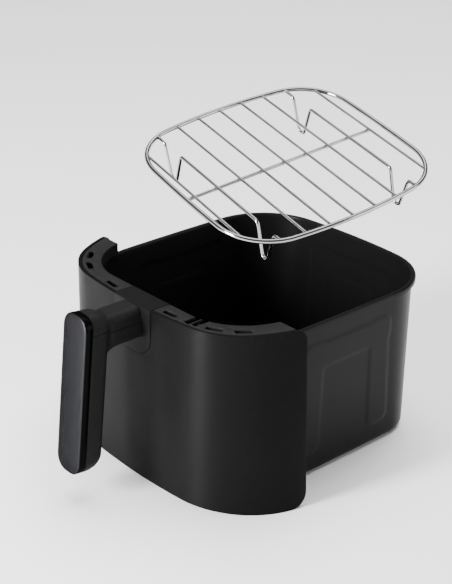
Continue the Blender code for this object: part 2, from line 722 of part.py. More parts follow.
def lift_pivot():
    """Axis direction and centre of the swing that carries the rack from seat to hover."""
    rise = RACK_HOVER - RACK_SEAT
    level = Vector((cos(LEAN_BEARING), sin(LEAN_BEARING), 0.0))
    axis = (level - Vector((0.0, 0.0, level.dot(rise) / rise.z))).normalized()
    centre = (RACK_SEAT + RACK_HOVER) / 2 + axis.cross(rise) / (2 * tan(RACK_TILT / 2))
    return axis, centre


def wire(name, points, radius, holder, closed=False):
    """A round wire through points given in the rack's own frame."""
    curve = bpy.data.curves.new(name, "CURVE")
    curve.dimensions = "3D"
    curve.bevel_depth = radius
    curve.bevel_resolution = 2
    curve.use_fill_caps = not closed
    spline = curve.splines.new("POLY")
    spline.points.add(len(points) - 1)
    for point, place_at in zip(spline.points, points):
        point.co = (*place_at, 1.0)
    spline.use_cyclic_u = closed
    obj = bpy.data.objects.new(name, curve)
    CUTTERS.objects.link(obj)
    place(obj, CHROME)
    obj.parent = holder
    _, centre = lift_pivot()
    obj.matrix_basis = Matrix.Translation(RACK_SEAT - centre) @ Matrix.Rotation(SEAT_YAW, 4, "Z")


def bar_reach(y, radius):
    """Half length of a bar that stops just short of the rim wire."""
    rim = np.array(soft_square(*RACK_HALF, RACK_CORNER, *RACK_BULGE, corner=60, side=30))
    reaches = []
    for edge in (y - radius, y + radius):
        reach = RACK_HALF[0] / 2
        while np.hypot(rim[:, 0] - reach, rim[:, 1] - edge).min() > RIM_WIRE + 1.5 * GAP:
            reach += GAP / 3
        reaches.append(reach)
    return min(reaches)


def leg_end(y, spots):
    """One end of a feet bar, from the rim inwards, with its V foot."""
    inner, foot, outer = spots
    points = [(bar_reach(y, LEG_WIRE), 0.0), (outer + 2.5 * MM, 0.0), (outer, -1.6 * MM)]
    for k in range(7):
        angle = radians(-20 - 140 * k / 6)
        points.append((foot + LEG_BEND * cos(angle), -LEG_DEPTH + LEG_BEND + LEG_BEND * sin(angle)))
    return points + [(inner + 3.6 * MM, -3.4 * MM), (inner + 2.2 * MM, -0.8 * MM), (inner, 0.0)]


def leg_path(y):
    """A bar whose ends dip into V feet before they meet the rim."""
    path = leg_end(y, LEG_RIGHT) + [(-x, z) for x, z in reversed(leg_end(y, LEG_LEFT))]
    return [(x, y, z) for x, z in path]


def make_rack():
    """Rim ring, bars, feet bars and the cross bar under them, on the lift's empty."""
    axis, centre = lift_pivot()
    holder = bpy.data.objects.new("rack_lift_axis", None)
    PARTS.objects.link(holder)
    holder.matrix_world = Matrix.Translation(centre) @ Matrix.Rotation(RACK_TILT, 4, axis)
    ring = soft_square(*RACK_HALF, RACK_CORNER, *RACK_BULGE, corner=10, side=3)
    wire("rack_rim", [(x, y, 0.0) for x, y in ring], RIM_WIRE, holder, closed=True)
    for number in range(1, BAR_COUNT + 1):
        y = BAR_OFFSET + BAR_PITCH * (number - (BAR_COUNT + 1) / 2)
        if number in LEG_BARS:
            wire(f"rack_leg_bar_{number}", leg_path(y), LEG_WIRE, holder)
            continue
        reach = bar_reach(y, BAR_WIRE)
        wire(f"rack_bar_{number}", [(-reach, y, 0.0), (0.0, y, 0.0), (reach, y, 0.0)], BAR_WIRE, holder)
    drop = -(LEG_WIRE + CROSS_WIRE + GAP)
    ends = (BAR_OFFSET - 4.15 * BAR_PITCH, BAR_OFFSET + 4.15 * BAR_PITCH)
    wire("rack_cross_bar", [(0.0, ends[0], drop), (0.0, 0.0, drop), (0.0, ends[1], drop)],
         CROSS_WIRE, holder)


# ---------------------------------------------------------------- assembly

def main():
    make_pan()
    wide = PLATE_HALF + GAP
    notch = upright_plate("notch", plate_outline(wide, PLATE_FOOT - GAP, PLATE_CORNER + GAP, 170 * MM),
                          -150 * MM, -100 * MM)
    make_cover(notch)
    plate_cut = block("plate_cut", (-wide, -140 * MM, COVER_TOP - FLANGE), (wide, -100 * MM, 170 * MM))
    make_frame(plate_cut)
    make_frame_screws()
    make_escutcheon()
    make_bracket()
    make_handle_bolts()
    make_grip_front()
    make_handle_shells()
    make_rack()
    for tool in CUTTERS.objects:
        tool.hide_render = True
        tool.display_type = "WIRE"


main()
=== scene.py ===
"""Finished look of an air fryer's drawer: pan, front cover with its handle, and the lifted wire rack."""

import json
from math import atan, cos, pi, radians, sin, sqrt, tan

import bmesh
import bpy
import numpy as np
from mathutils import Matrix, Vector


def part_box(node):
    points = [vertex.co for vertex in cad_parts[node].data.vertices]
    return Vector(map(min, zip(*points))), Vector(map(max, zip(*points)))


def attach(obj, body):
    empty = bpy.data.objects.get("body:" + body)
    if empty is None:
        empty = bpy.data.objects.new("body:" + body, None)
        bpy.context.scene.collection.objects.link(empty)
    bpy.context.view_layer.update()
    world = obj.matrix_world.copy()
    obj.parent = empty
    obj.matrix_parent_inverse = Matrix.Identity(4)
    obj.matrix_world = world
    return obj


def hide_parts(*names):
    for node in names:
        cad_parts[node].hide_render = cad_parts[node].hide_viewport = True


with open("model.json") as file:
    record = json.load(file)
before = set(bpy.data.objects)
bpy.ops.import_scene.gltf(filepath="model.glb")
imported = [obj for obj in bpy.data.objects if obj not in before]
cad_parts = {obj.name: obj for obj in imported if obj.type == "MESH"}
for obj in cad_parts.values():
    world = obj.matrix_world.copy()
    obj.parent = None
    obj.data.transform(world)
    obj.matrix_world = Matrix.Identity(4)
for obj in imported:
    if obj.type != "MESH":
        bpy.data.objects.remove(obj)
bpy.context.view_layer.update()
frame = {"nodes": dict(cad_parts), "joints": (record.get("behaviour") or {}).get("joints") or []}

MM = 0.001

# ---- driving sizes, the same as the CAD's apart from FLANGE_TIP_Y ----
PAN_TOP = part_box("pan")[1].z
PAN_SHEET = 1.2 * MM
RIM_HALF = (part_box("pan")[1].x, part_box("pan")[1].y)
RIM_RADIUS = 61.0 * MM
LIP_RADIUS = 2.15 * MM
LIP_DROP = 2.6 * MM
FLOOR_HALF = (97.4 * MM, 104.6 * MM)
FLOOR_CORNER = 33.2 * MM
FLOOR_FILLET = 6.0 * MM
PAN_CROWN = (0.5 * MM, 2.6 * MM)

COVER_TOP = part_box("front_cover")[1].z
COVER_SHEET = 3.0 * MM
COVER_END_Y = -62.0 * MM
COVER_CORNER = (9.0 * MM, 13.0 * MM)     # end edge: top and bottom rounding
TOP_ARCS = ((487.9 * MM, 7.6), (63.6 * MM, 61.4), (146.5 * MM, 90.0))
TOP_APEX_Y = -131.8 * MM
FOOT_ARCS = ((589.0 * MM, 5.6), (82.9 * MM, 41.9), (72.8 * MM, 90.0))
FOOT_APEX_Y = -134.3 * MM

FLANGE = 3.0 * MM
FLANGE_END_Y = -71.2 * MM
FLANGE_TIP_Y = -68.4 * MM             # visible end of the flange, a little behind the frame's
LEDGE_HALF = 103.0 * MM
LEDGE_FRONT_Y = -112.0 * MM
LEDGE_CORNER = 55.0 * MM
LEDGE_FLARE = 0.28                    # slope of the inner edge at its ends
LEDGE_SWEEP = 0.93                    # share of a quarter turn that its corners take
SLOTS = ((97.0, -100.5, 48.0), (79.0, -114.0, 28.0), (37.0, -122.0, 6.0))   # x, y in mm, bearing
SLOT_SIZE = (14.2 * MM, 5.0 * MM)
SLOT_CORNER = 1.8 * MM
END_PANEL_FOOT = 4.0 * MM            # height of its lower edge
SCREW_BORE = 1.8 * MM
SWITCH_NOTCHES = ((54.0 * MM, 59.5 * MM, -123.5 * MM), (61.0 * MM, 66.5 * MM, -121.8 * MM))

PLATE_HALF = 23.0 * MM
PLATE_FOOT = 113.4 * MM
PLATE_CORNER = 15.0 * MM
GAP = 0.3 * MM

GRIP_HALF = 15.0 * MM
GRIP_SPAN = (26.5 * MM, 159.5 * MM)
GRIP_CORNER = 12.0 * MM
GRIP_LEAN = atan(0.115)
GRIP_FRONT_Y = -186.8 * MM
GRIP_FRONT_Z = 145.3 * MM

RACK_HALF = (90.5 * MM, 97.3 * MM)
RACK_CORNER = 45.75 * MM
RACK_CROWN = (3.5 * MM, 0.75 * MM)
RIM_WIRE = 1.9 * MM
BAR_WIRE = 1.15 * MM
LEG_WIRE = 1.35 * MM
CROSS_WIRE = 1.4 * MM
BAR_COUNT = 9
BAR_PITCH = 21.8 * MM
BAR_OFFSET = -2.5 * MM
LEG_BARS = (2, 8)
LEG_DEPTH = 28.0 * MM
LEG_RIGHT = (53.5 * MM, 66.4 * MM, 76.6 * MM)    # inner top, foot, outer top
LEG_LEFT = (47.5 * MM, 58.8 * MM, 73.0 * MM)
LEG_BEND = 3.3 * MM
RACK_SEAT = Vector((0.0, 0.0, 31.2 * MM))
SEAT_YAW = radians(-4.5)


# ---------------------------------------------------------------- meshes

def add_object(name, data):
    obj = bpy.data.objects.new(name, data)
    bpy.context.scene.collection.objects.link(obj)
    return obj


def object_from(work, name):
    """Turn a finished bmesh into an object, and free it."""
    data = bpy.data.meshes.new(name)
    work.to_mesh(data)
    work.free()
    return add_object(name, data)


def grid_object(name, rows, wrap=False, keep=None):
    """An open sheet of quads through rows of points; keep(row, column) leaves faces out."""
    work = bmesh.new()
    verts = [[work.verts.new(point) for point in row] for row in rows]
    width = len(verts[0])
    for j in range(len(verts) - 1):
        for i in range(width if wrap else width - 1):
            if keep is None or keep(j, i):
                k = (i + 1) % width
                work.faces.new((verts[j][i], verts[j][k], verts[j + 1][k], verts[j + 1][i]))
    loose = [vert for vert in work.verts if not vert.link_faces]
    bmesh.ops.delete(work, geom=loose, context="VERTS")
    return object_from(work, name)


def closed_loft(name, rings):
    """A closed solid through rings of points, with a flat face at each end."""
    obj = grid_object(name, rings, wrap=True)
    work = bmesh.new()
    work.from_mesh(obj.data)
    work.verts.ensure_lookup_table()
    width = len(rings[0])
    for start in (0, width * (len(rings) - 1)):
        work.faces.new([work.verts[start + k] for k in range(width)])
    bmesh.ops.recalc_face_normals(work, faces=work.faces)
    work.to_mesh(obj.data)
    work.free()
    return obj


def applied(obj, weld=0.0):
    """Replace an object's data by its evaluated mesh, without its modifiers."""
    bpy.context.view_layer.update()
    graph = bpy.context.evaluated_depsgraph_get()
    data = bpy.data.meshes.new_from_object(obj.evaluated_get(graph))
    if weld:
        work = bmesh.new()
        work.from_mesh(data)
        bmesh.ops.remove_doubles(work, verts=work.verts, dist=weld)
        bmesh.ops.recalc_face_normals(work, faces=work.faces)
        work.to_mesh(data)
        work.free()
    name = obj.name
    matrix = obj.matrix_world.copy()
    bpy.data.objects.remove(obj, do_unlink=True)
    made = add_object(name, data)
    made.matrix_world = matrix
    return made


def thicken(obj, thickness, offset=-1.0):
    step = obj.modifiers.new("sheet", "SOLIDIFY")
    step.thickness = thickness
    step.offset = offset
    step.use_even_offset = True


def round_edges(obj, width, segments=3, angle=40):
    step = obj.modifiers.new("round", "BEVEL")
    step.width = width
    step.segments = segments
    step.limit_method = "ANGLE"
    step.angle_limit = radians(angle)


def shade(obj, angle=38):
    obj.data.shade_smooth()
    obj.data.set_sharp_from_angle(angle=radians(angle))


def settle(obj, finish, body, slot, *nodes):
    """Give a piece its material and its body, and hide the CAD nodes that it stands for. The slot argument
    is not used.
    """
    obj.data.materials.clear()
    obj.data.materials.append(finish)
    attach(obj, body)
    if nodes:
        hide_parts(*nodes)
    return obj


def flat_plate(name, outlines, middle, thickness, rounding):
    """A level plate with rounded edges from one or more closed outlines; inner outlines are holes."""
    curve = bpy.data.curves.new(name, "CURVE")
    curve.dimensions = "2D"
    curve.fill_mode = "BOTH"
    curve.extrude = thickness / 2 - rounding
    curve.bevel_depth = rounding
    curve.bevel_resolution = 2
    curve.offset = -rounding
    for outline in outlines:
        spline = curve.splines.new("POLY")
        spline.points.add(len(outline) - 1)
        for point, (x, y) in zip(spline.points, outline):
            point.co = (x, y, 0.0, 1.0)
        spline.use_cyclic_u = True
    obj = add_object(name, curve)
    obj.location.z = middle
    return obj


def cut(obj, tools, operation="DIFFERENCE"):
    """Apply Booleans and remove the tools."""
    for tool in tools:
        step = obj.modifiers.new("cut", "BOOLEAN")
        step.object = tool
        step.operation = operation
        step.solver = "EXACT"
    made = applied(obj)
    for tool in tools:
        bpy.data.objects.remove(tool, do_unlink=True)
    return made


def tube(name, points, radii, closed=False, sides=5):
    """A round wire through points, with a radius at each point."""
    curve = bpy.data.curves.new(name, "CURVE")
    curve.dimensions = "3D"
    curve.bevel_depth = 1.0
    curve.bevel_resolution = sides
    curve.use_fill_caps = not closed
    spline = curve.splines.new("POLY")
    spline.points.add(len(points) - 1)
    for point, place, radius in zip(spline.points, points, radii):
        point.co = (*place, 1.0)
        point.radius = radius
    spline.use_cyclic_u = closed
    return add_object(name, curve)


# ---------------------------------------------------------------- outlines

def crowned_square(half_x, half_y, radius, crown_x, crown_y, side, corner):
    """A rounded rectangle with crowned sides, counter-clockwise from the middle of +X."""
    reach_x = half_x - radius
    reach_y = half_y - radius
    for _ in range(12):
        turn_x = atan(2 * crown_x / reach_y)
        turn_y = atan(2 * crown_y / reach_x)
        centre_x = half_x - crown_x - radius * cos(turn_x)
        centre_y = half_y - crown_y - radius * cos(turn_y)
        reach_y = centre_y + radius * sin(turn_x)
        reach_x = centre_x + radius * sin(turn_y)
    quarter = [(half_x - crown_x * (k / side) ** 2, reach_y * k / side) for k in range(side)]
    for k in range(corner + 1):
        angle = turn_x + (pi / 2 - turn_x - turn_y) * k / corner
        quarter.append((centre_x + radius * cos(angle), centre_y + radius * sin(angle)))
    quarter += [(reach_x * k / side, half_y - crown_y * (k / side) ** 2) for k in range(side - 1, -1, -1)]
    points = list(quarter)
    points += [(-x, y) for x, y in reversed(quarter[:-1])]
    points += [(-x, -y) for x, y in quarter[1:]]
    points += [(x, -y) for x, y in reversed(quarter[1:-1])]
    return np.array(points)


def arc_chain(apex_y, arcs, end_y, steps=80):
    """Half of the cover's outline as a dense run of arcs, cut at end_y."""
    points = [(0.0, apex_y)]
    start = 0.0
    for radius, end in arcs:
        x, y = points[-1]
        centre = (x - radius * sin(start), y + radius * cos(start))
        stop = radians(end)
        for k in range(1, steps + 1):
            angle = start + (stop - start) * k / steps
            points.append((centre[0] + radius * sin(angle), centre[1] - radius * cos(angle)))
        start = stop
    points = np.array(points)
    keep = points[points[:, 1] < end_y]
    share = (end_y - keep[-1, 1]) / (points[len(keep), 1] - keep[-1, 1])
    last = keep[-1] + share * (points[len(keep)] - keep[-1])
    return np.vstack([keep, last])


def run_length(points):
    return np.concatenate([[0.0], np.cumsum(np.linalg.norm(np.diff(points, axis=0), axis=1))])


def by_share(points, samples=900):
    """The line at evenly spaced shares of its length."""
    run = run_length(points)
    wanted = np.linspace(0.0, run[-1], samples)
    return np.column_stack([np.interp(wanted, run, points[:, axis]) for axis in (0, 1)])


TOP_HALF = arc_chain(TOP_APEX_Y, TOP_ARCS, COVER_END_Y)
FOOT_HALF = arc_chain(FOOT_APEX_Y, FOOT_ARCS, COVER_END_Y)
HALF_LENGTH = float(run_length(TOP_HALF)[-1])
TOP_LINE = by_share(TOP_HALF)
FOOT_LINE = by_share(FOOT_HALF)


def fascia(share, height, inset=0.0):
    """A point on the cover: share runs from -1 (left end) to 1 (right end), inset goes inwards."""
    def at(where):
        places = np.abs(where) * (len(TOP_LINE) - 1)
        index = np.arange(len(TOP_LINE))
        mix = np.asarray(height) / COVER_TOP
        line = []
        for axis in (0, 1):
            foot = np.interp(places, index, FOOT_LINE[:, axis])
            top = np.interp(places, index, TOP_LINE[:, axis])
            line.append(foot + (top - foot) * mix)
        return np.stack([line[0] * np.where(where < 0, -1, 1), line[1]], -1)
    share = np.asarray(share, float)
    step = 0.002
    ahead = at(np.minimum(share + step, 1.0))
    behind = at(np.maximum(share - step, -1.0))
    along = ahead - behind
    along /= np.linalg.norm(along, axis=-1, keepdims=True)
    inwards = np.stack([-along[..., 1], along[..., 0]], -1)
    return at(share) + inset * inwards


def ledge_line(inset=0.0, steps=24):
    """Inner edge of the flange, from its left end round the front to its right end."""
    half = LEDGE_HALF + inset
    front = LEDGE_FRONT_Y - inset
    corner = LEDGE_CORNER + inset
    points = []
    for k in range(steps + 1):
        angle = pi / 2 * (1 - k / steps) * LEDGE_SWEEP
        points.append((half - corner + corner * cos(angle), front + corner - corner * sin(angle)))
    points = [point for point in points if point[1] < FLANGE_TIP_Y]
    run = FLANGE_TIP_Y - points[-1][1]
    points.append((points[-1][0] + run * LEDGE_FLARE, FLANGE_TIP_Y))
    right = np.array([(0.0, front)] + points)
    return np.vstack([right[::-1] * (-1, 1), right[1:]])


# ---------------------------------------------------------------- materials

NOISE_SPAN = (0.3, 0.7)               # where most of a noise texture's values lie


class Shader:
    """A Principled material and short calls for the nodes that colour it."""

    def __init__(self, name, colour, roughness, metallic=0.0, specular=0.5):
        self.material = bpy.data.materials.new(name)
        self.material.use_nodes = True
        self.nodes = self.material.node_tree.nodes
        self.links = self.material.node_tree.links
        self.shader = self.nodes["Principled BSDF"]
        self.set("Base Color", (*colour, 1.0))
        self.set("Roughness", roughness)
        self.set("Metallic", metallic)
        self.set("Specular IOR Level", specular)
        self.place = self.nodes.new("ShaderNodeTexCoord").outputs["Object"]

    def set(self, socket, value):
        self.shader.inputs[socket].default_value = value

    def noise(self, scale, detail=2.0, stretch=None):
        """Noise in object space; stretch lengthens its grain along an axis."""
        texture = self.nodes.new("ShaderNodeTexNoise")
        texture.inputs["Scale"].default_value = scale
        texture.inputs["Detail"].default_value = detail
        place = self.place
        if stretch:
            mapping = self.nodes.new("ShaderNodeMapping")
            mapping.inputs["Scale"].default_value = stretch
            self.links.new(self.place, mapping.inputs["Vector"])
            place = mapping.outputs["Vector"]
        self.links.new(place, texture.inputs["Vector"])
        return texture.outputs["Fac"]

    def spread(self, value, low, high, inside=(0.0, 1.0)):
        """Map a value's range to another."""
        node = self.nodes.new("ShaderNodeMapRange")
        node.inputs["From Min"].default_value = inside[0]
        node.inputs["From Max"].default_value = inside[1]
        node.inputs["To Min"].default_value = low
        node.inputs["To Max"].default_value = high
        self.links.new(value, node.inputs["Value"])
        return node.outputs["Result"]

    def blend(self, value, first, second):
        """Mix two colours by a value."""
        node = self.nodes.new("ShaderNodeMix")
        node.data_type = "RGBA"
        node.inputs["A"].default_value = (*first, 1.0)
        node.inputs["B"].default_value = (*second, 1.0)
        self.links.new(value, node.inputs["Factor"])
        return node.outputs["Result"]

    def connect(self, value, socket):
        self.links.new(value, self.shader.inputs[socket])

    def bump(self, layers):
        """Chained bumps: (height value, strength, depth in metres)."""
        normal = None
        for value, strength, depth in layers:
            node = self.nodes.new("ShaderNodeBump")
            node.inputs["Strength"].default_value = strength
            node.inputs["Distance"].default_value = depth
            self.links.new(value, node.inputs["Height"])
            if normal:
                self.links.new(normal, node.inputs["Normal"])
            normal = node.outputs["Normal"]
        self.connect(normal, "Normal")


def moulded_plastic(name, colour, roughness, specular, grain=1400.0, depth=0.05, draw=0.0):
    """Matt moulded plastic: fine spark texture (depth in mm), faint flow; draw smears its gloss upright."""
    made = Shader(name, colour, roughness, specular=specular)
    made.set("Anisotropic", draw)
    made.set("Anisotropic Rotation", 0.25)
    flow = made.noise(26.0, 3.0)
    made.connect(made.spread(flow, roughness - 0.04, roughness + 0.04, NOISE_SPAN), "Roughness")
    tint = tuple(channel * 1.25 for channel in colour)
    speckle = made.spread(made.noise(320.0, 4.0), 0.0, 1.0, (0.35, 0.7))
    made.connect(made.blend(speckle, colour, tint), "Base Color")
    made.bump([(made.noise(grain, 3.0), 0.35, depth * MM), (flow, 0.2, 0.15 * MM)])
    return made.material


def pan_coating():
    """Non-stick coating on pressed sheet: satin black with fine flecks and a slight orange peel."""
    base = (0.0058, 0.0058, 0.0061)
    made = Shader("nonstick_coating", base, 0.42, specular=0.065)
    made.set("Anisotropic", 0.5)
    made.set("Anisotropic Rotation", 0.25)
    flecks = made.noise(900.0, 2.0)
    peel = made.noise(170.0, 2.0)
    fleck_mask = made.spread(flecks, 0.0, 1.0, (0.66, 0.78))
    made.connect(made.blend(fleck_mask, base, (0.013, 0.013, 0.014)), "Base Color")
    made.connect(made.spread(made.noise(14.0, 3.0), 0.31, 0.41, NOISE_SPAN), "Roughness")
    made.bump([(peel, 0.14, 0.12 * MM), (flecks, 0.12, 0.05 * MM)])
    return made.material


def gloss_black():
    """Polished black plastic with a clear skin and barely visible polish marks."""
    made = Shader("gloss_black", (0.0015, 0.0015, 0.0017), 0.1, specular=0.0)
    made.set("Coat Weight", 0.05)
    made.set("Coat Roughness", 0.04)
    made.connect(made.spread(made.noise(60.0, 2.0), 0.07, 0.14, NOISE_SPAN), "Roughness")
    made.bump([(made.noise(40.0, 1.0), 0.05, 0.08 * MM)])
    return made.material


def gunmetal():
    """Satin metal foil with fine upright brushing."""
    made = Shader("gunmetal_inlay", (0.02, 0.02, 0.0216), 0.36, metallic=0.85, specular=0.05)
    made.set("Specular Tint", (0.25, 0.25, 0.25, 1.0))
    brush = made.noise(900.0, 3.0, (1.0, 1.0, 0.03))
    made.connect(made.spread(brush, 0.29, 0.39, NOISE_SPAN), "Roughness")
    shine = made.spread(brush, 0.0, 1.0, NOISE_SPAN)
    made.connect(made.blend(shine, (0.0185, 0.0185, 0.02), (0.022, 0.022, 0.0238)), "Base Color")
    made.bump([(brush, 0.08, 0.02 * MM)])
    return made.material


def chrome():
    """Bright plated wire with soft drawing marks."""
    made = Shader("chrome_wire", (0.35, 0.35, 0.357), 0.1, metallic=1.0)
    made.connect(made.spread(made.noise(240.0, 3.0), 0.06, 0.16, NOISE_SPAN), "Roughness")
    patches = made.spread(made.noise(35.0, 2.0), 0.0, 1.0, (0.35, 0.65))
    made.connect(made.blend(patches, (0.31, 0.31, 0.317), (0.39, 0.39, 0.397)), "Base Color")
    made.bump([(made.noise(420.0, 2.0), 0.06, 0.05 * MM)])
    return made.material


def zinc():
    """Zinc-plated steel with a mottled, slightly worn finish."""
    made = Shader("zinc_steel", (0.42, 0.42, 0.43), 0.34, metallic=1.0)
    mottle = made.noise(260.0, 4.0)
    made.connect(made.spread(mottle, 0.26, 0.46, NOISE_SPAN), "Roughness")
    patches = made.spread(mottle, 0.0, 1.0, NOISE_SPAN)
    made.connect(made.blend(patches, (0.36, 0.36, 0.36), (0.5, 0.5, 0.51)), "Base Color")
    made.bump([(mottle, 0.1, 0.05 * MM)])
    return made.material


def studio_floor():
    """Pale matt studio floor."""
    made = Shader("studio_floor", (0.86, 0.86, 0.86), 0.9, specular=0.1)
    patches = made.spread(made.noise(3.0, 2.0), 0.0, 1.0, NOISE_SPAN)
    made.connect(made.blend(patches, (0.85, 0.85, 0.85), (0.87, 0.87, 0.87)), "Base Color")
    return made.material


COATING = pan_coating()
COVER_PLASTIC = moulded_plastic("matt_black_cover", (0.0032, 0.0032, 0.0034), 0.42, 0.045,
                                depth=0.03, draw=0.8)
FRAME_PLASTIC = moulded_plastic("matt_black_frame", (0.0105, 0.0105, 0.011), 0.46, 0.09)
HANDLE_PLASTIC = moulded_plastic("matt_black_handle", (0.0078, 0.0078, 0.0082), 0.5, 0.07)
PLATE_PLASTIC = moulded_plastic("satin_black_plate", (0.0055, 0.0055, 0.0058), 0.5, 0.045, 1800.0, 0.02)
GLOSS = gloss_black()
GUNMETAL = gunmetal()
CHROME = chrome()
ZINC = zinc()


# ---------------------------------------------------------------- pan

RELIEF_DEPTH = 0.5 * MM
RELIEF_EDGE = 4.2 * MM                # width of the pressed step
RELIEF_SPAN = (22.0 * MM, 122.7 * MM)    # foot of the legs, top of the bar
RELIEF_BAR = 100.3 * MM               # lower edge of the bar
RELIEF_HALF = 48.5 * MM
RELIEF_INNER = 26.6 * MM              # half the space between the legs
RELIEF_CENTRE = 3.8 * MM
RELIEF_SHIFT = 3.0 * MM               # how far the legs' feet lie off the bar's middle
RELIEF_SPLAY = 0.08                   # how much wider the legs stand at their feet
BAR_CORNER = 8.0 * MM
LEG_CORNER = 7.0 * MM
RELIEF_BLEND = 5.0 * MM               # hollow corners between bar and legs


def soft_box(u, v, low, high, radius):
    """Signed distance to a rounded rectangle."""
    middle_u, middle_v = (low[0] + high[0]) / 2, (low[1] + high[1]) / 2
    over_u = np.abs(u - middle_u) - (high[0] - low[0]) / 2 + radius
    over_v = np.abs(v - middle_v) - (high[1] - low[1]) / 2 + radius
    outside = np.hypot(np.maximum(over_u, 0.0), np.maximum(over_v, 0.0))
    return outside + np.minimum(np.maximum(over_u, over_v), 0.0) - radius


def soft_union(a, b, blend):
    near = np.clip(0.5 + 0.5 * (b - a) / blend, 0.0, 1.0)
    return b * (1 - near) + a * near - blend * near * (1 - near)


def relief(u, z):
    """Height of the pressed arch on a wall: a bar with two legs, in metres outwards."""
    drop = np.clip((RELIEF_BAR - z) / (RELIEF_BAR - RELIEF_SPAN[0]), 0.0, 1.2)
    u = (u - RELIEF_CENTRE - RELIEF_SHIFT * drop) / (1 + RELIEF_SPLAY * drop)
    low, high = RELIEF_SPAN
    shape = soft_box(u, z, (-RELIEF_HALF, RELIEF_BAR), (RELIEF_HALF, high), BAR_CORNER)
    for side in (-1, 1):
        ends = sorted((side * RELIEF_INNER, side * RELIEF_HALF))
        leg = soft_box(u, z, (ends[0], low), (ends[1], high), LEG_CORNER)
        shape = soft_union(shape, leg, RELIEF_BLEND)
    share = np.clip(0.5 - shape / RELIEF_EDGE, 0.0, 1.0)
    return RELIEF_DEPTH * share * share * (3 - 2 * share)


def pan_stations():
    """(outward spread, height, floor share) of each ring, from the floor's middle to the lip's skirt."""
    stations = [(-FLOOR_FILLET, PAN_SHEET, share) for share in (0.12, 0.3, 0.5, 0.7, 0.86)]
    for k in range(9):
        angle = pi / 2 * k / 8
        stations.append((-FLOOR_FILLET * (1 - sin(angle)), PAN_SHEET + FLOOR_FILLET * (1 - cos(angle)), 1.0))
    wall_top = PAN_TOP - LIP_RADIUS
    low = PAN_SHEET + FLOOR_FILLET
    rows = 92
    stations += [(0.0, low + (wall_top - low) * k / rows, 1.0) for k in range(1, rows + 1)]
    for k in range(1, 13):
        angle = pi * k / 12
        stations.append((LIP_RADIUS * (1 - cos(angle)), wall_top + LIP_RADIUS * sin(angle), 1.0))
    stations += [(2 * LIP_RADIUS, wall_top - LIP_DROP * k / 2, 1.0) for k in (1, 2)]
    return stations


def make_pan():
    """Pressed pan: crowned walls with the arch relief, and a rolled rim."""
    wall_top = PAN_TOP - LIP_RADIUS
    inset = 2 * LIP_RADIUS
    top_half = [size - inset for size in RIM_HALF]
    side, corner = 46, 20
    rows = []
    for spread, height, floor_share in pan_stations():
        share = min(height / wall_top, 1.0)
        half = [low + (high - low) * share + spread for low, high in zip(FLOOR_HALF, top_half)]
        radius = FLOOR_CORNER + (RIM_RADIUS - inset - FLOOR_CORNER) * share + spread
        line = crowned_square(*half, radius, *PAN_CROWN, side, corner) * floor_share
        ring = np.column_stack([line, np.full(len(line), height)])
        if spread == 0.0:
            x, y = line[:, 0], line[:, 1]
            reach = half[1] - radius
            on_side = (np.abs(y) < reach) & (np.abs(x) > half[0] - radius / 2)
            on_back = (y > half[1] - radius / 2) & (np.abs(x) < half[0] - radius)
            ring[:, 0] += np.where(on_side, np.sign(x) * relief(y, height), 0.0)
            ring[:, 1] += np.where(on_back, relief(x, height), 0.0)
        rows.append(ring)
    pan = grid_object("basket_pan", rows, wrap=True)
    work = bmesh.new()
    work.from_mesh(pan.data)
    centre = [vert for vert in work.verts if abs(vert.co.z - PAN_SHEET) < 1e-7 and vert.is_boundary]
    work.faces.new(sorted(centre, key=lambda vert: np.arctan2(vert.co.y, vert.co.x)))
    bmesh.ops.recalc_face_normals(work, faces=work.faces)
    floor = min(work.faces, key=lambda face: face.calc_center_median().length)
    if floor.normal.z < 0:
        bmesh.ops.reverse_faces(work, faces=work.faces)
    work.to_mesh(pan.data)
    work.free()
    thicken(pan, PAN_SHEET)
    pan = applied(pan)
    shade(pan, 60)
    settle(pan, COATING, "drawer", "coating", "pan")


# ---------------------------------------------------------------- front cover

def corner_trim(height):
    """How far the cover's end edge steps back near its rounded corners."""
    top, foot = COVER_CORNER
    for radius, depth in ((foot, height), (top, COVER_TOP - height)):
        if depth < radius:
            return radius - sqrt(max(radius ** 2 - (radius - depth) ** 2, 0.0))
    return 0.0


def plate_edge(run, half, foot):
    """Height of the U plate's lower edge at a distance along the fascia from its middle."""
    corner = PLATE_CORNER + half - PLATE_HALF
    over = np.clip(np.abs(run) - (half - corner), 0.0, corner)
    return foot + corner - np.sqrt(np.maximum(corner ** 2 - over ** 2, 0.0))


def plate_columns(half, steps=14):
    """Distances from the middle for columns that follow the U plate's round corners."""
    corner = PLATE_CORNER + half - PLATE_HALF
    flat = half - corner
    right = [flat * k / 4 for k in range(4)]
    right += [flat + corner * sin(pi / 2 * k / steps) for k in range(steps + 1)]
    return right


def rounded_steps(length, steps):
    """Distances from 0 to length, closer together towards 0."""
    return [length * (1 - cos(pi / 2 * k / steps)) for k in range(steps + 1)]


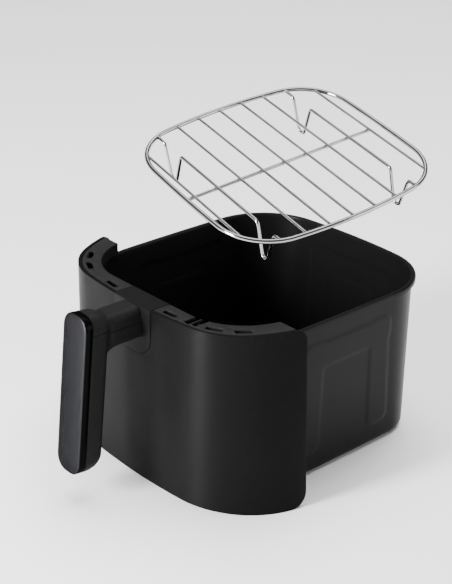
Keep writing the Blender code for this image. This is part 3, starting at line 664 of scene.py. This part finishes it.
def make_cover():
    """The curved fascia, open where the escutcheon sits, with rounded ends and edges."""
    half = PLATE_HALF + GAP
    foot_z = PLATE_FOOT - GAP
    shoulder = foot_z + PLATE_CORNER + GAP
    top_radius, foot_radius = COVER_CORNER
    low = rounded_steps(foot_radius, 8)
    low += list(np.linspace(foot_radius, shoulder, 26)[1:])
    high = list(np.linspace(shoulder, COVER_TOP - top_radius, 6)[1:])
    high += [COVER_TOP - step for step in reversed(rounded_steps(top_radius, 8)[:-1])]
    heights = low + high
    inner = plate_columns(half)
    end_zone = HALF_LENGTH - 14 * MM
    outer = list(np.linspace(half, end_zone, 66)[1:])
    outer += list(np.linspace(end_zone, HALF_LENGTH, 8)[1:])
    right = np.array(inner + outer) / HALF_LENGTH
    shares = np.concatenate([-right[:0:-1], right])
    fixed = 60 * MM / HALF_LENGTH
    rows = []
    for j, height in enumerate(heights):
        reach = 1 - corner_trim(height) / HALF_LENGTH
        size = np.abs(shares)
        moved = fixed + (size - fixed) * (reach - fixed) / (1 - fixed)
        size = np.where(size > fixed, moved, size)
        levels = np.full(len(shares), height)
        under = size * HALF_LENGTH < half - 1e-6
        edge = plate_edge(size * HALF_LENGTH, half, foot_z)
        levels = np.where(under, height * edge / shoulder, levels)
        flat = fascia(size * np.sign(shares), levels)
        rows.append(np.column_stack([flat, levels]))
    hole = (np.abs(shares[:-1] + shares[1:]) / 2 * HALF_LENGTH) < half
    cover = grid_object("cover_shell", rows, keep=lambda j, i: not (hole[i] and j >= len(low) - 1))
    thicken(cover, COVER_SHEET)
    round_edges(cover, 0.7 * MM)
    cover = applied(cover)
    shade(cover)
    settle(cover, COVER_PLASTIC, "drawer", "black_plastic", "front_cover")


# ---------------------------------------------------------------- flange and inner frame

def slot_outline(centre_x, centre_y, bearing, steps=4):
    """A vent slot: a rounded rectangle at a bearing, counter-clockwise."""
    reach_x, reach_y = (size / 2 - SLOT_CORNER for size in SLOT_SIZE)
    turn = Matrix.Rotation(radians(bearing), 2)
    points = []
    for number, (side_x, side_y) in enumerate(((1, 1), (-1, 1), (-1, -1), (1, -1))):
        for k in range(steps + 1):
            angle = pi / 2 * (number + k / steps)
            corner = Vector((side_x * reach_x, side_y * reach_y))
            point = corner + SLOT_CORNER * Vector((cos(angle), sin(angle)))
            points.append(tuple(turn @ point + Vector((centre_x, centre_y))))
    return points


def flange_outline(side):
    """One half of the flange, from the escutcheon out to its end and back along the ledge."""
    near = PLATE_HALF + 0.35 * MM
    shares = np.linspace(0.0, 1.0, 400)
    outer = fascia(shares, np.full(400, COVER_TOP), COVER_SHEET + 0.45 * MM)
    outer = outer[(outer[:, 0] > near) & (outer[:, 1] < FLANGE_TIP_Y - 0.5 * MM)][::3]
    start = (near, float(np.interp(near, outer[:, 0], outer[:, 1])))
    end = (outer[-1, 0] + 0.1 * MM, FLANGE_TIP_Y)
    points = [start] + [tuple(point) for point in outer] + [end]
    ledge = ledge_line()
    points += [tuple(point) for point in ledge[ledge[:, 0] > near][::-1]]
    points.append((near, LEDGE_FRONT_Y))
    if side > 0:
        points = notched(points)
    return [(side * x, y) for x, y in points]


def notched(points):
    """Cut the two switch notches into the ledge side of an outline."""
    last = max(index for index, point in enumerate(points) if point[1] == FLANGE_TIP_Y)
    outside, inside = points[:last], points[last:]
    line = np.array(inside[::-1])
    for low, high, front in sorted(SWITCH_NOTCHES, reverse=True):
        walls = [(x, float(np.interp(x, line[:, 0], line[:, 1]))) for x in (high, low)]
        walls[1:1] = [(high, front), (low, front)]
        before = [point for point in inside if point[0] > high]
        after = [point for point in inside if point[0] < low]
        inside = before + walls + after
    return outside + inside


def make_flange():
    """Top flange in two halves with its slots and notches, on one plate."""
    outlines = [flange_outline(side) for side in (-1, 1)]
    for side in (-1, 1):
        for x, y, bearing in SLOTS:
            outlines.append(slot_outline(side * x * MM, y * MM, side * bearing))
    flange = flat_plate("top_flange", outlines, COVER_TOP - FLANGE / 2, FLANGE, 0.45 * MM)
    flange = applied(flange, 0.00002)
    shade(flange)
    settle(flange, FRAME_PLASTIC, "drawer", "black_plastic", "inner_frame")


def make_ledge_wall():
    """The wall that drops from the flange's inner edge to the pan's rim."""
    line = ledge_line(0.1 * MM)
    heights = np.linspace(PAN_TOP + GAP, COVER_TOP - FLANGE + 0.4 * MM, 5)
    notch_low, notch_high = 53.0 * MM, 67.5 * MM
    under_notches = COVER_TOP - 6.5 * MM
    notched_part = (line[:, 0] > notch_low) & (line[:, 0] < notch_high)
    rows = []
    for height in heights:
        levels = np.where(notched_part, np.minimum(height, under_notches), height)
        rows.append(np.column_stack([line, levels]))
    wall = grid_object("ledge_wall", rows)
    thicken(wall, 1.9 * MM, 1.0)
    wall = applied(wall)
    shade(wall)
    settle(wall, FRAME_PLASTIC, "drawer", "black_plastic")


def circle_outline(x, y, radius, steps=24):
    angles = [2 * pi * k / steps for k in range(steps)]
    return [(x + radius * cos(angle), y + radius * sin(angle)) for angle in angles]


def make_end_panels():
    """The two end walls of the frame, with their screw holes."""
    low_z = END_PANEL_FOOT
    top_z = COVER_TOP - FLANGE - 0.1 * MM
    for side, name in ((-1, "left"), (1, "right")):
        screws = [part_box(f"frame_screw_{number}") for number in ((1, 3) if side < 0 else (2, 4))]
        heights = np.linspace(low_z, top_z, 14)
        ends = np.linspace(0.5, 1.0, 400)
        edge = []
        for height in heights:
            line = fascia(ends, np.full(400, height), COVER_SHEET + 0.6 * MM)
            edge.append(float(np.interp(FLANGE_END_Y - 1.5 * MM, line[:, 1], line[:, 0])))
        rim_x = RIM_HALF[0] - 0.6 * MM
        ledge_x = LEDGE_HALF + 1.2 * MM
        over_rim = PAN_TOP + GAP
        outline = [(rim_x, low_z)] + list(zip(edge, heights))
        outline += [(ledge_x, top_z), (ledge_x, over_rim), (rim_x, over_rim)]
        outlines = [[(side * x, z) for x, z in outline]]
        for box_low, box_high in screws:
            middle = (box_low + box_high) / 2
            outlines.append(circle_outline(middle.x, middle.z, SCREW_BORE))
        panel = flat_plate(f"frame_end_{name}", outlines, 0.0, 3.0 * MM, 0.4 * MM)
        panel.rotation_euler.x = pi / 2
        panel.location = (0.0, FLANGE_END_Y - 1.6 * MM, 0.0)
        panel = applied(panel, 0.00002)
        panel.data.transform(panel.matrix_world)
        panel.matrix_world = Matrix.Identity(4)
        shade(panel)
        settle(panel, FRAME_PLASTIC, "drawer", "black_plastic")


def screw_mesh():
    """A pan-head screw along -Y: domed head with a cross recess, and its shank."""
    head = [(0.0, 1.9), (1.2, 1.8), (2.1, 1.45), (2.7, 0.9), (3.0, 0.3), (3.0, 0.0)]    # radius, along in mm
    shank = [(1.45, 0.0), (1.45, -9.0), (0.0, -10.0)]
    work = bmesh.new()
    rings = []
    sides = 32
    for radius, along in head + shank:
        ring = []
        for k in range(sides):
            angle = 2 * pi * k / sides
            ring.append(work.verts.new((radius * MM * cos(angle), along * MM, radius * MM * sin(angle))))
        rings.append(ring)
    for low, high in zip(rings, rings[1:]):
        for k in range(sides):
            work.faces.new((low[k], low[(k + 1) % sides], high[(k + 1) % sides], high[k]))
    bmesh.ops.remove_doubles(work, verts=work.verts, dist=1e-6)
    bmesh.ops.recalc_face_normals(work, faces=work.faces)
    screw = object_from(work, "pan_head_screw")
    arms = []
    for turn in (0.0, pi / 2):
        cutter = bmesh.new()
        bmesh.ops.create_cube(cutter, size=1.0)
        cutter.transform(Matrix.Rotation(turn, 4, "Y") @ Matrix.Translation((0, 1.6 * MM, 0))
                         @ Matrix.Diagonal((3.2 * MM, 1.8 * MM, 0.7 * MM, 1.0)))
        arms.append(object_from(cutter, "recess"))
    screw = cut(screw, arms)
    shade(screw, 30)
    mesh = screw.data
    bpy.data.objects.remove(screw, do_unlink=True)
    return mesh


def make_frame_screws():
    """Four screws in the end panels."""
    mesh = screw_mesh()
    for number in range(1, 5):
        low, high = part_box(f"frame_screw_{number}")
        middle = (low + high) / 2
        screw = add_object(f"cover_screw_{number}", mesh.copy())
        screw.location = (middle.x, FLANGE_END_Y + 0.1 * MM, middle.z)
        screw.rotation_euler.y = 0.7 * number
        settle(screw, ZINC, "drawer", "steel", f"frame_screw_{number}")


# ---------------------------------------------------------------- escutcheon

def make_escutcheon():
    """The saddle plate: a U down the fascia that turns back over the flange."""
    proud = 0.35 * MM
    thickness = COVER_SHEET - 0.3 * MM
    right = np.array(plate_columns(PLATE_HALF)) / HALF_LENGTH
    shares = np.concatenate([-right[:0:-1], right])
    edge = plate_edge(np.abs(shares) * HALF_LENGTH, PLATE_HALF, PLATE_FOOT)
    rows = []
    for step in np.linspace(0.0, 1.0, 14):
        levels = edge + (COVER_TOP - edge) * step
        rows.append(np.column_stack([fascia(shares, levels, -proud), levels]))
    front = fascia(shares, np.full(len(shares), COVER_TOP), -proud)
    for step in np.linspace(0.0, 1.0, 8)[1:]:
        y = front[:, 1] + (LEDGE_FRONT_Y - front[:, 1]) * step
        rows.append(np.column_stack([front[:, 0], y, np.full(len(y), COVER_TOP)]))
    plate = grid_object("handle_escutcheon", rows)
    thicken(plate, thickness)
    round_edges(plate, 0.8 * MM, 4)
    plate = applied(plate)
    shade(plate)
    settle(plate, PLATE_PLASTIC, "drawer", "grey_plastic", "escutcheon")


# ---------------------------------------------------------------- handle

def grip_frame():
    """X across, Y up the grip, Z out of its front face."""
    middle_z = sum(GRIP_SPAN) / 2
    front_y = GRIP_FRONT_Y - tan(GRIP_LEAN) * (GRIP_FRONT_Z - middle_z)
    return Matrix.Translation((0.0, front_y, middle_z)) @ Matrix.Rotation(pi / 2 - GRIP_LEAN, 4, "X")


GRIP = grip_frame()
GRIP_REACH = (GRIP_SPAN[1] - GRIP_SPAN[0]) / cos(GRIP_LEAN) / 2


def grip_loft(name, stations, corner=14, side=10):
    """Closed loft of rounded outlines: (depth behind the front, side inset, top inset, foot inset)."""
    rows = []
    for depth, inset, top, foot in stations:
        line = crowned_square(GRIP_HALF - inset, GRIP_REACH, max(GRIP_CORNER - inset, 0.6 * MM),
                              0.05 * MM, 0.05 * MM, side, corner)
        up = line[:, 1]
        up = np.where(up > 0, up * (GRIP_REACH - top) / GRIP_REACH, up * (GRIP_REACH - foot) / GRIP_REACH)
        rows.append(np.column_stack([line[:, 0], up, np.full(len(up), -depth)]))
    obj = closed_loft(name, rows)
    obj.data.transform(GRIP)
    return obj


def rounding(radius, steps, start=0.0):
    """(depth, inset) pairs of a quarter-round edge that starts at a depth."""
    return [(start + radius * (1 - cos(pi / 2 * k / steps)), radius * (1 - sin(pi / 2 * k / steps)))
            for k in range(steps + 1)]


def make_inlay():
    """The metal face: a slightly crowned plate with a soft edge."""
    edge = 0.9 * MM
    crown = 0.9 * MM
    stations = []
    for inset in (13.0, 11.0, 9.0, 7.0, 5.0, 3.5, 2.2, 1.4):
        stations.append((crown * (1 - inset / 13) ** 2, (inset + 0.3) * MM))
    stations += [(crown + depth, inset + 0.3 * MM) for depth, inset in rounding(edge, 5)]
    stations.append((2.4 * MM, 0.3 * MM))
    inlay = grip_loft("grip_inlay", [(depth, inset, inset, inset) for depth, inset in stations])
    shade(inlay, 50)
    settle(inlay, GUNMETAL, "drawer", "inlay", "handle_inlay")


def make_bezel():
    """The gloss band round the grip, with rounded front and rear edges."""
    front = 1.3 * MM
    rear = 7.3 * MM
    stations = [(front + 0.3 * MM, 1.2 * MM), (front, 0.9 * MM)]
    stations += [(depth, inset) for depth, inset in rounding(0.7 * MM, 5, front)]
    stations += [(rear - depth + front, inset) for depth, inset in reversed(rounding(0.4 * MM, 3, front))]
    bezel = grip_loft("grip_bezel", [(depth, inset, inset, inset) for depth, inset in stations])
    shade(bezel, 50)
    settle(bezel, GLOSS, "drawer", "gloss_plastic", "handle_bezel")


GRIP_BODY = (7.7 * MM, 24.0 * MM)     # depth of its front and its back
GRIP_LIP = 0.5 * MM                   # small chamfer at its front edge
SIDE_ROUNDING = (19.4 * MM, 4.6 * MM, 0.8)     # start depth, radius and share used, towards the back
FOOT_ROUNDING = (11.0 * MM, 13.0 * MM, 0.95)
TOP_ROUNDING = (15.3 * MM, 9.2 * MM, 0.75)


def pulled_in(depth, start, radius, share):
    """How far a rear rounding has pulled the surface in at a depth."""
    past = max(depth - start, 0.0)
    return (radius - sqrt(max(radius ** 2 - past ** 2, 0.0))) * share


def grip_body():
    """The grip behind the bezel: flat sides, a rounded back, and heavily rounded ends."""
    front, back = GRIP_BODY
    stations = []
    for place in np.concatenate([[0.0, 0.03, 0.07], np.linspace(0.15, 1.0, 15)]):
        depth = front + (back - front) * place
        lip = max(0.0, GRIP_LIP - (depth - front))
        side, top, foot = (pulled_in(depth, *edge) for edge in (SIDE_ROUNDING, TOP_ROUNDING, FOOT_ROUNDING))
        stations.append((depth, side + lip, top + lip, foot + lip))
    return grip_loft("grip_body", stations)


def arm_section(half, low, high, top_radius, foot_radius, steps=8):
    """The arm's outline in XZ: large round shoulders and small lower corners, counter-clockwise."""
    points = []
    corners = ((1, 1, top_radius), (-1, 1, top_radius), (-1, -1, foot_radius), (1, -1, foot_radius))
    for number, (side, up, radius) in enumerate(corners):
        centre_x = side * (half - radius)
        centre_z = high - radius if up > 0 else low + radius
        for k in range(steps + 1):
            angle = pi / 2 * (number + k / steps)
            points.append((centre_x + radius * cos(angle), centre_z + radius * sin(angle)))
    return points


ARM_STATIONS = ((-122.0, 13.0, 153.4), (-140.0, 13.0, 153.4), (-157.0, 13.0, 153.4), (-158.4, 12.9, 153.2),
                (-159.8, 12.65, 152.9), (-161.0, 12.55, 152.8), (-163.0, 12.7, 153.0), (-166.0, 13.0, 153.6),
                (-174.0, 13.4, 154.5))         # y, half width and top in mm
ARM_LOW = 127.6 * MM
ARM_CORNERS = (7.5 * MM, 2.6 * MM)             # top and foot radius


def arm_body():
    """The arm from the escutcheon to the grip: a block, a waist, and a run into the grip's head."""
    rings = []
    for y, half, high in ARM_STATIONS:
        section = arm_section(half * MM, ARM_LOW, high * MM, *ARM_CORNERS)
        rings.append([(x, y * MM, z) for x, z in section])
    return closed_loft("arm", rings)


def side_prism(name, outline, width):
    """A prism across the drawer from an outline of (y, z) points."""
    return closed_loft(name, [[(x, y, z) for y, z in outline] for x in (-width / 2, width / 2)])


def arm_web():
    """The hollow corner under the arm."""
    centre_y, centre_z = -152.5 * MM, 120.5 * MM
    radius_y, radius_z = 14.0 * MM, 7.3 * MM
    inside_y, overlap_z = -174.0 * MM, 130.0 * MM
    outline = [(inside_y, overlap_z), (inside_y, centre_z)]
    for k in range(13):
        angle = pi - pi / 2 * k / 12
        outline.append((centre_y + radius_y * cos(angle), centre_z + radius_z * sin(angle)))
    outline.append((centre_y, overlap_z))
    return side_prism("web", outline, 23.5 * MM)


SEAM = ((-215.0, 144.6), (-163.8, 143.7), (-160.6, 141.0), (-110.0, 140.8))    # y, z in mm
SEAM_GAP = 0.2 * MM                   # half of the visible joint


def space_behind_cover():
    """The solid behind the escutcheon's face, which the arm stops at."""
    rings = []
    for height in (60 * MM, 175 * MM):
        line = fascia(np.linspace(-0.5, 0.5, 60), np.full(60, height), -0.75 * MM)
        back = [(x, -80 * MM) for x in (line[-1, 0], line[0, 0])]
        rings.append([(x, y, height) for x, y in list(map(tuple, line)) + back])
    return closed_loft("behind", rings)


def make_handle():
    """Grip and arm blended into one moulding, then parted at the seam into its two shells."""
    body = cut(grip_body(), [arm_body(), arm_web()], "UNION")
    remesh = body.modifiers.new("voxels", "REMESH")
    remesh.mode = "VOXEL"
    remesh.voxel_size = 0.6 * MM
    relax = body.modifiers.new("relax", "SMOOTH")
    relax.factor = 0.5
    relax.iterations = 7
    body = applied(body)
    body = cut(body, [space_behind_cover()])
    seam = [(y * MM, z * MM) for y, z in SEAM]
    for name, low, high, node in (("handle_top_shell", SEAM_GAP, 60 * MM, "handle_upper_shell"),
                                  ("handle_main_shell", -160 * MM, -SEAM_GAP, "handle_lower_shell")):
        outline = [(y, z + low) for y, z in seam] + [(y, z + high) for y, z in reversed(seam)]
        copy = add_object(name, body.data.copy())
        shell = cut(copy, [side_prism("keep", outline, 60 * MM)], "INTERSECT")
        shade(shell, 55)
        settle(shell, HANDLE_PLASTIC, "drawer", "black_plastic", node)
    bpy.data.objects.remove(body, do_unlink=True)


# ---------------------------------------------------------------- rack

def rack_frame():
    """The rack's own frame at rest, from its seat and the lift joint."""
    joint = next(joint for joint in frame["joints"] if joint["name"] == "rack_lift")
    pivot = Matrix.Translation(Vector(joint["pos_m"]))
    lift = Matrix.Rotation(radians(-joint["range_deg"][0]), 4, Vector(joint["axis"]))
    seat = Matrix.Translation(RACK_SEAT) @ Matrix.Rotation(SEAT_YAW, 4, "Z")
    return pivot @ lift @ pivot.inverted() @ seat


def bar_reach(y):
    """Half length of a bar that ends inside the rim wire."""
    rim = crowned_square(*RACK_HALF, RACK_CORNER, *RACK_CROWN, 40, 80)
    right = rim[rim[:, 0] > 0]
    order = np.argsort(right[:, 1])
    return float(np.interp(y, right[order, 1], right[order, 0])) - RIM_WIRE * 0.75


def smooth_path(points, bend, steps=6):
    """Round the corners of a path with smooth bends."""
    points = [Vector(point) for point in points]
    path = [points[0]]
    for before, here, after in zip(points, points[1:], points[2:]):
        reach = min(bend, (here - before).length / 2, (after - here).length / 2)
        start = here + (before - here).normalized() * reach
        end = here + (after - here).normalized() * reach
        for k in range(steps + 1):
            t = k / steps
            path.append(start * (1 - t) ** 2 + here * 2 * t * (1 - t) + end * t ** 2)
    path.append(points[-1])
    return path


def welded_wire(name, node, points, wire, joints, closed=False):
    """A rack wire: its radius swells a little at its welds."""
    radii = []
    for point in points:
        near = min(((Vector(point) - Vector(joint)).length for joint in joints), default=1.0)
        radii.append(wire * (1 + 0.2 * max(0.0, 1 - near / (2.2 * MM))))
    piece = tube(name, points, radii, closed)
    piece.data.transform(RACK_FRAME)
    piece = applied(piece, 0.000005)
    shade(piece, 60)
    return settle(piece, CHROME, "rack", "chrome", node)


def filled(points, step):
    """Add points along straight stretches, one to two steps apart where the stretch allows."""
    path = [Vector(points[0])]
    for point in points[1:]:
        point = Vector(point)
        count = max(1, int((point - path[-1]).length / step))
        start = path[-1]
        path += [start.lerp(point, k / count) for k in range(1, count + 1)]
    return path


def leg_end(y, spots):
    """One end of a feet bar, from the rim inwards, as corners of its V foot."""
    inner, foot, outer = spots
    low = -LEG_DEPTH + 0.1 * MM
    return [(bar_reach(y), 0.0), (outer, 0.0), (foot + LEG_BEND, low), (foot - LEG_BEND, low),
            (inner + 1.6 * MM, 0.0)]


def leg_points(y):
    """A bar whose ends dip into V feet before they meet the rim."""
    path = leg_end(y, LEG_RIGHT) + [(-x, z) for x, z in reversed(leg_end(y, LEG_LEFT))]
    return smooth_path([(x, y, z) for x, z in path], LEG_BEND, 8)


LEG_STEP = 1.5 * MM                   # least distance between points added along a wire
BAR_STEP = 1.2 * MM
CROSS_REACH = 4.15 * BAR_PITCH        # half length of the cross bar


def make_rack():
    """Rim, nine bars (two with feet) and the cross bar under them."""
    ring = crowned_square(*RACK_HALF, RACK_CORNER, *RACK_CROWN, 24, 26)
    welded_wire("wire_rim", "rack_rim", [(x, y, 0.0) for x, y in ring], RIM_WIRE, [], closed=True)
    crossings = []
    for number in range(1, BAR_COUNT + 1):
        y = BAR_OFFSET + BAR_PITCH * (number - (BAR_COUNT + 1) / 2)
        crossings.append((0.0, y))
        reach = bar_reach(y)
        ends = [(-reach, y, 0.0), (reach, y, 0.0)]
        if number in LEG_BARS:
            path = filled(leg_points(y), LEG_STEP)
            welded_wire(f"wire_leg_bar_{number}", f"rack_leg_bar_{number}", path, LEG_WIRE, ends)
        else:
            path = filled(ends, BAR_STEP)
            welded_wire(f"wire_bar_{number}", f"rack_bar_{number}", path, BAR_WIRE, ends)
    drop = -(LEG_WIRE + CROSS_WIRE) + 0.1 * MM
    path = filled([(0.0, BAR_OFFSET - CROSS_REACH, drop), (0.0, BAR_OFFSET + CROSS_REACH, drop)], BAR_STEP)
    welded_wire("wire_cross_bar", "rack_cross_bar", path, CROSS_WIRE, [(x, y, drop) for x, y in crossings])


RACK_FRAME = rack_frame()


# ---------------------------------------------------------------- studio

FLOOR_SIZE = 40.0                     # metres, so that its edge stays out of low views
FOCAL_LENGTH = 82.04                  # mm, on a sensor 36 mm high
CAMERA_PLACE = (0.7558, -0.6916, 0.5921)


def make_floor():
    """A wide level floor just under the drawer."""
    work = bmesh.new()
    bmesh.ops.create_grid(work, x_segments=8, y_segments=8, size=FLOOR_SIZE)
    floor = object_from(work, "floor")
    floor.location.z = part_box("pan")[0].z - 0.2 * MM
    floor.data.materials.append(studio_floor())


def make_camera():
    """The viewpoint: 49 degrees round to the right of the front, looking 25 degrees down."""
    bearing, elevation = radians(48.97), radians(24.64)
    back = Vector((sin(bearing) * cos(elevation), -cos(bearing) * cos(elevation), sin(elevation)))
    right = Vector((cos(bearing), sin(bearing), 0.0))
    up = back.cross(right)
    turn = Matrix((right, up, back)).transposed().to_4x4()
    lens = bpy.data.cameras.new("view")
    lens.sensor_fit = "VERTICAL"
    lens.sensor_height = 36.0
    lens.lens = FOCAL_LENGTH
    camera = add_object("view", lens)
    camera.matrix_world = Matrix.Translation(CAMERA_PLACE) @ turn
    bpy.context.scene.camera = camera


def add_softbox(name, place, target, size, power):
    """A rectangular area lamp aimed at a target."""
    light = bpy.data.lights.new(name, "AREA")
    light.shape = "RECTANGLE"
    light.size, light.size_y = size
    light.energy = power
    lamp = add_object(name, light)
    lamp.location = place
    aim = Vector(target) - Vector(place)
    lamp.rotation_euler = aim.to_track_quat("-Z", "Y").to_euler()


def make_studio():
    """Three soft boxes, a wide overhead lamp that gloss doesn't mirror, and a dim white surround."""
    middle = (0.0, 0.0, 0.08)
    add_softbox("front_left_box", (-0.2, -1.4, 0.5), middle, (0.34, 0.9), 84.0)
    add_softbox("back_right_box", (1.5, 1.15, 0.6), middle, (1.0, 1.1), 15.0)
    add_softbox("top_box", (-0.3, 0.5, 1.9), middle, (1.6, 1.6), 26.0)
    sky = bpy.data.lights.new("overhead", "SUN")
    sky.energy = 4.6
    sky.angle = radians(50)
    lamp = add_object("overhead", sky)
    lamp.rotation_euler = (radians(-14), radians(-8), 0.0)
    lamp.visible_glossy = False
    world = bpy.data.worlds.new("studio")
    bpy.context.scene.world = world
    world.use_nodes = True
    backdrop = world.node_tree.nodes["Background"]
    backdrop.inputs["Color"].default_value = (1.0, 1.0, 1.0, 1.0)
    backdrop.inputs["Strength"].default_value = 0.18


def finish_hidden_steel():
    """Zinc on the CAD's own bracket, bolts and inner screws."""
    nodes = ["pan_bracket", "handle_bolt_1", "handle_bolt_2"]
    nodes += [f"bezel_screw_{number}" for number in (1, 2, 3)]
    for node in nodes:
        materials = frame["nodes"][node].data.materials
        materials.clear()
        materials.append(ZINC)


make_camera()
make_floor()
make_studio()
make_pan()
make_cover()
make_flange()
make_ledge_wall()
make_end_panels()
make_frame_screws()
make_escutcheon()
make_inlay()
make_bezel()
make_handle()
make_rack()
finish_hidden_steel()
